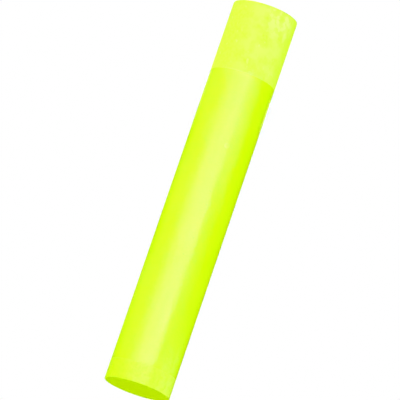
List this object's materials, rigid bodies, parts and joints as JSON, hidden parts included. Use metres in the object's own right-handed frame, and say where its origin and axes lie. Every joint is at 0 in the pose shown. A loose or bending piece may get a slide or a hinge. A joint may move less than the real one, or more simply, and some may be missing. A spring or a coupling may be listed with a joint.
{
  "type": "juggling stick",
  "caption": "Straight round juggling stick with a long matt grip cap, a glossy fluorescent body and a short flat end cap, built round a wooden core.",
  "frame": {"origin": "centre of the grip cap's flat base, on the surface the stick stands on", "axes": "+Z along the stick's axis from the grip cap's base to the end cap's flat face; +X and +Y are any two directions across it, because the stick is round"},
  "size_m": [0.04, 0.04, 0.241],
  "materials": {
    "grip_elastomer": "matt soft-touch, lightly dusty",
    "fluorescent_film": "glossy shrunk film",
    "fluorescent_plastic": "satin moulded",
    "tube_plastic": "smooth extruded",
    "beech": "sanded, unvarnished",
    "foam": "closed-cell foam, cut"
  },
  "bodies": {
    "root": {"grip_cap": "grip_elastomer", "body_tube": "tube_plastic", "wrap_film": "fluorescent_film", "end_cap": "fluorescent_plastic", "core_dowel": "beech", "foam_ring_1": "foam", "foam_ring_2": "foam", "foam_ring_3": "foam"}
  },
  "joints": []
}
